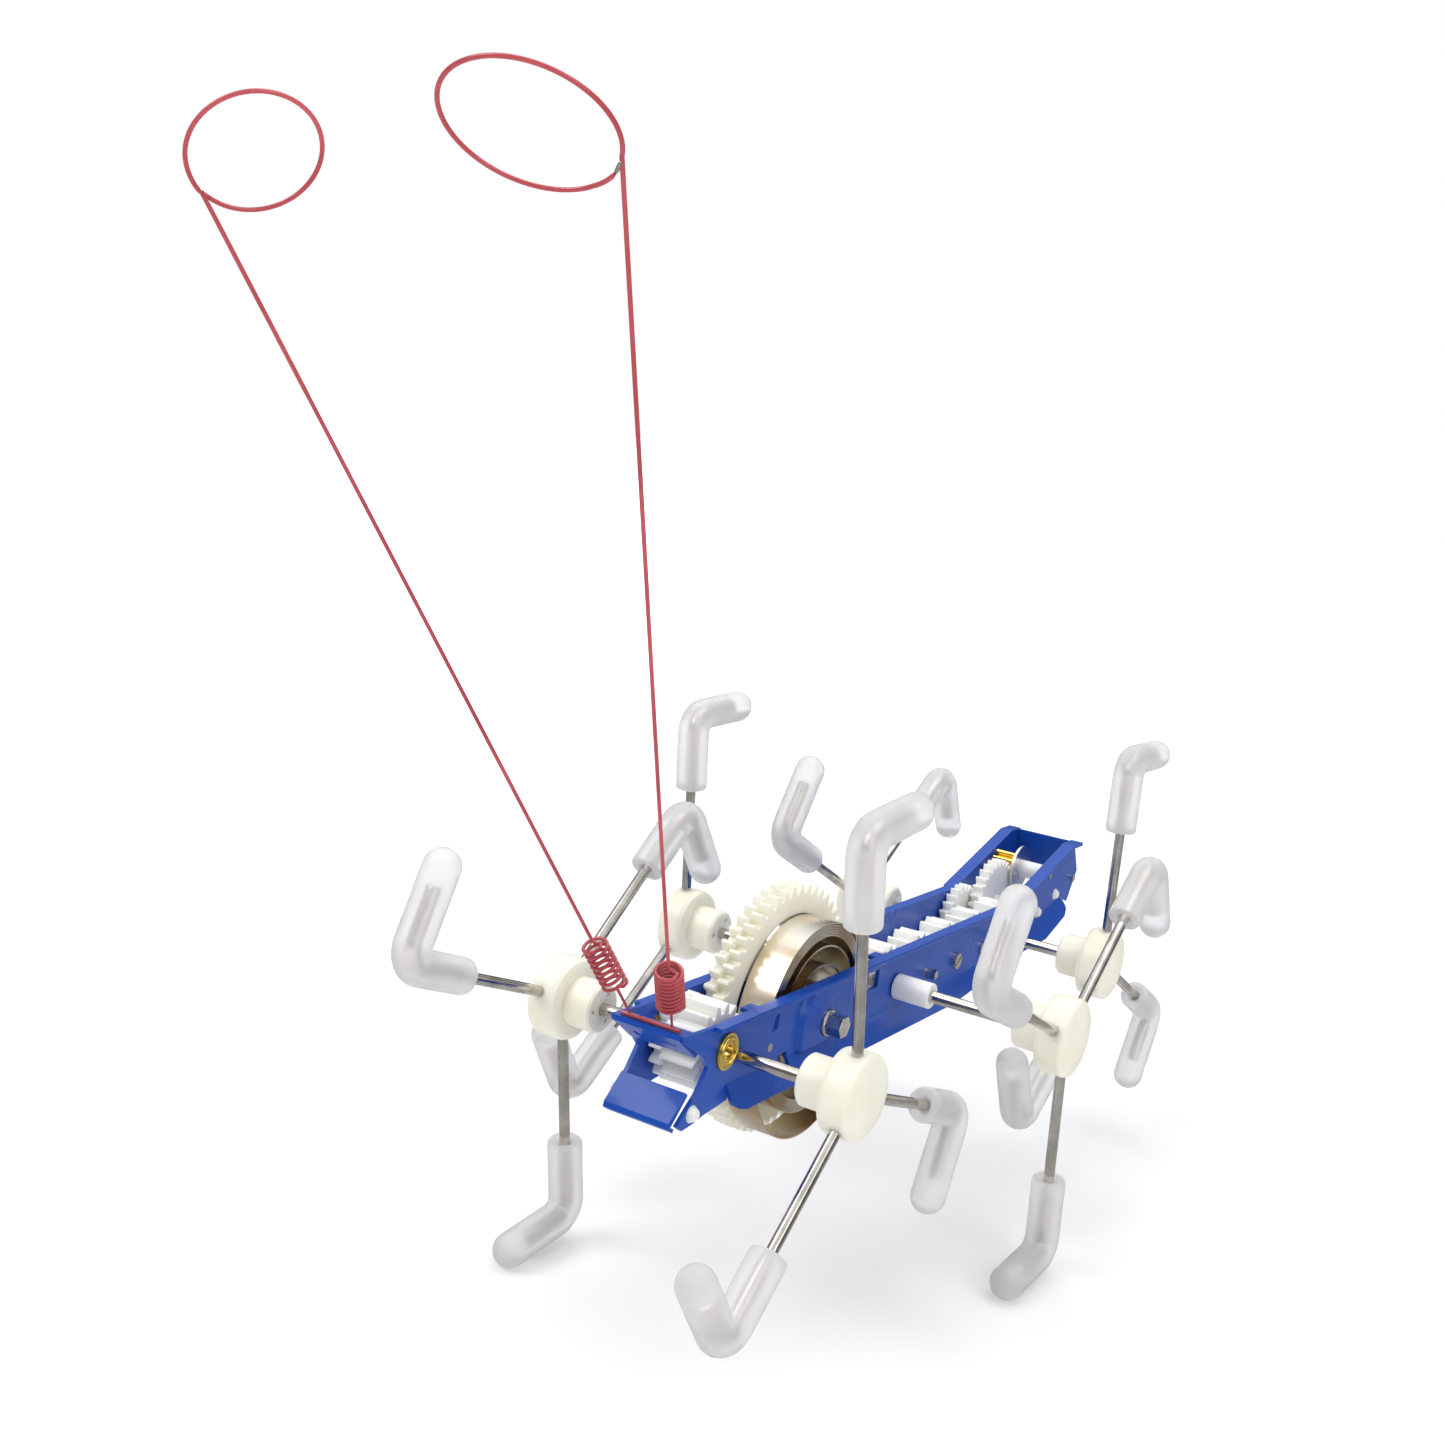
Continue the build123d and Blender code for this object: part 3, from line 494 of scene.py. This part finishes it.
def antenna_line(side, lean_out, lean_forward, foot, coil_r, coil_length, turns,
                 loop_r, loop_out, loop_normal):
    """Points of one antenna: foot, coil, long stem and open end loop."""
    x, y = side * math.sin(math.radians(lean_out)), -math.sin(math.radians(lean_forward))
    along = Vector((x, y, math.sqrt(1 - x * x - y * y)))
    base = joint_point("front_axle_turn") + Vector((side * ANTENNA_BASE.x, ANTENNA_BASE.y, ANTENNA_BASE.z))
    across = Vector((1, 0, -along.x / along.z)).normalized()
    third = along.cross(across)
    low, top = base + along * foot, base + along * (foot + coil_length)
    points = [base, low - along * COIL_CORNER, low + across * COIL_CORNER]
    points.append(low + across * (coil_r - COIL_CORNER))
    steps = turns * COIL_STEPS
    for step in range(2, steps - 1):
        share = step / steps
        turn = 2 * math.pi * turns * share
        round_axis = math.cos(turn) * across + math.sin(turn) * third
        points.append(low + along * coil_length * share + coil_r * round_axis)
    points += [top + across * (coil_r - COIL_CORNER), top + across * COIL_CORNER, top + along * COIL_CORNER]
    end = base + along * STEM_END
    points += [top + along * 4 * MM, end - along * 2 * MM]
    normal = Vector(loop_normal).normalized()
    out = Vector(loop_out)
    out = (out - normal * out.dot(normal)).normalized()
    centre = end + out * loop_r
    sideways = normal.cross(-out)
    loop = []
    for step in range(LOOP_TURN // LOOP_STEP + 1):
        turn = math.radians(LOOP_TURN * step / (LOOP_TURN // LOOP_STEP))
        aside = max(0.0, 1 - (LOOP_TURN - math.degrees(turn)) / LOOP_CROSSING) * 2.3 * ANTENNA_R
        loop.append(centre + loop_r * (math.cos(turn) * -out + math.sin(turn) * sideways) + normal * aside)
    return points + loop


def tube_mesh(name, line, radius, sides=14):
    """Round wire along a free line, its rings carried along without twisting."""
    shape = bmesh.new()
    heading = directions(line)
    up = heading[0].orthogonal().normalized()
    rings = []
    for index, (point, way) in enumerate(zip(line, heading)):
        up = (up - way * up.dot(way)).normalized()
        over = way.cross(up)
        size = radius * (0.6 if index in (0, len(line) - 1) else 1.0)
        turns = [2 * math.pi * i / sides for i in range(sides)]
        rings.append([shape.verts.new(point + size * (math.cos(t) * up + math.sin(t) * over)) for t in turns])
    for low, high in zip(rings, rings[1:]):
        skin(shape, low, high)
    shape.faces.new(list(reversed(rings[0])))
    shape.faces.new(rings[-1])
    bmesh.ops.recalc_face_normals(shape, faces=shape.faces)
    mesh = bpy.data.meshes.new(name)
    shape.to_mesh(mesh)
    shape.free()
    return mesh


def antenna_piece(node, shape_values, bare):
    """Red wire of one antenna, and a separate bare end of so many degrees on its loop if it has one."""
    line = antenna_line(**shape_values)
    bare_points = max(1, round(bare / LOOP_STEP))
    red = line[:-bare_points] if bare else line
    add_piece(node + "_finished", tube_mesh(node + "_finished", red, ANTENNA_R), node)
    if bare:
        tip = line[-bare_points - 1:]
        mesh = tube_mesh(node + "_bare_end", tip, ANTENNA_R * 0.94)
        piece = bpy.data.objects.new(node + "_bare_end", mesh)
        bpy.context.scene.collection.objects.link(piece)
        mesh.materials.append(FINISH["steel_wire"])
        mesh.shade_smooth()
        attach(piece, frame["nodes"][node]["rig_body"])


ANTENNAS = {                                         # leans are in degrees
    "left_antenna": {
        "side": -1, "lean_out": 9.5, "lean_forward": 33.9,
        "foot": 4.7 * MM, "coil_r": 1.45 * MM, "coil_length": 7.2 * MM, "turns": 8,
        "loop_r": 6.1 * MM, "loop_out": (4.2, 2.1, 3.9), "loop_normal": (0.73, -0.32, -0.61)},
    "right_antenna": {
        "side": 1, "lean_out": 8.7, "lean_forward": 28.4,
        "foot": 3.7 * MM, "coil_r": 1.58 * MM, "coil_length": 6.3 * MM, "turns": 10,
        "loop_r": 7.9 * MM, "loop_out": (-6.4, -4.3, 1.5), "loop_normal": (0.13, -0.49, -0.86)},
}
BARE_END = {"left_antenna": 0, "right_antenna": 14}  # degrees of each loop left without varnish

# Side, distance of the hub from the middle, joint, angles of the legs and what is added to them.
WHEELS = {
    "front_right": (1, 22.4 * MM, "front_axle_turn", (90, 210, 330), 11.4),
    "front_left": (-1, 22.4 * MM, "front_axle_turn", (270, 30, 150), 11.4),
    "middle_right": (1, 32.0 * MM, "middle_axle_turn", (270, 30, 150), 7.7),
    "middle_left": (-1, 32.0 * MM, "middle_axle_turn", (90, 210, 330), 7.7),
    "rear_right": (1, 22.4 * MM, "rear_axle_turn", (90, 210, 330), 4.2),
    "rear_left": (-1, 22.4 * MM, "rear_axle_turn", (270, 30, 150), 4.2),
}


make_camera()
make_world()
make_floor(floor_white())
target = joint_point("middle_axle_turn")
for name, (offset, size, power) in LIGHTS.items():
    add_area(name, target + Vector(offset), target, size, power)
bpy.context.scene.view_settings.view_transform = "Standard"

EDGES = {
    "right_side_plate": 0.12 * MM, "left_side_plate": 0.12 * MM, "front_bridge": 0.1 * MM,
    "chin_panel": 0.1 * MM, "rear_wall": 0.1 * MM, "great_wheel": 0.16 * MM, "front_gear": 0.1 * MM,
    "middle_gear": 0.1 * MM, "idler_gear_1": 0.1 * MM, "idler_gear_2": 0.1 * MM, "idler_gear_3": 0.1 * MM,
    "rear_gear": 0.1 * MM, "governor_drive_gear": 0.06 * MM, "governor_wheel": 0.06 * MM,
    "winding_arbor": 0.08 * MM, "idler_square_end_pin": 0.08 * MM, "middle_axle_sleeves": 0.15 * MM,
}
for wheel, place in WHEELS.items():
    places = leg_places(*place)
    leg_piece(wheel + "_boots", boot_stations(), 40, places)
    leg_piece(wheel + "_leg_wires", wire_stations(), 24, places)
for node, values in ANTENNAS.items():
    antenna_piece(node, values, BARE_END[node])
for node in frame["nodes"]:
    if node.endswith(("_boots", "_leg_wires", "_antenna")):
        continue
    if node in EDGES:
        rounded_copy(node, EDGES[node])
    else:
        keep_cad(node)
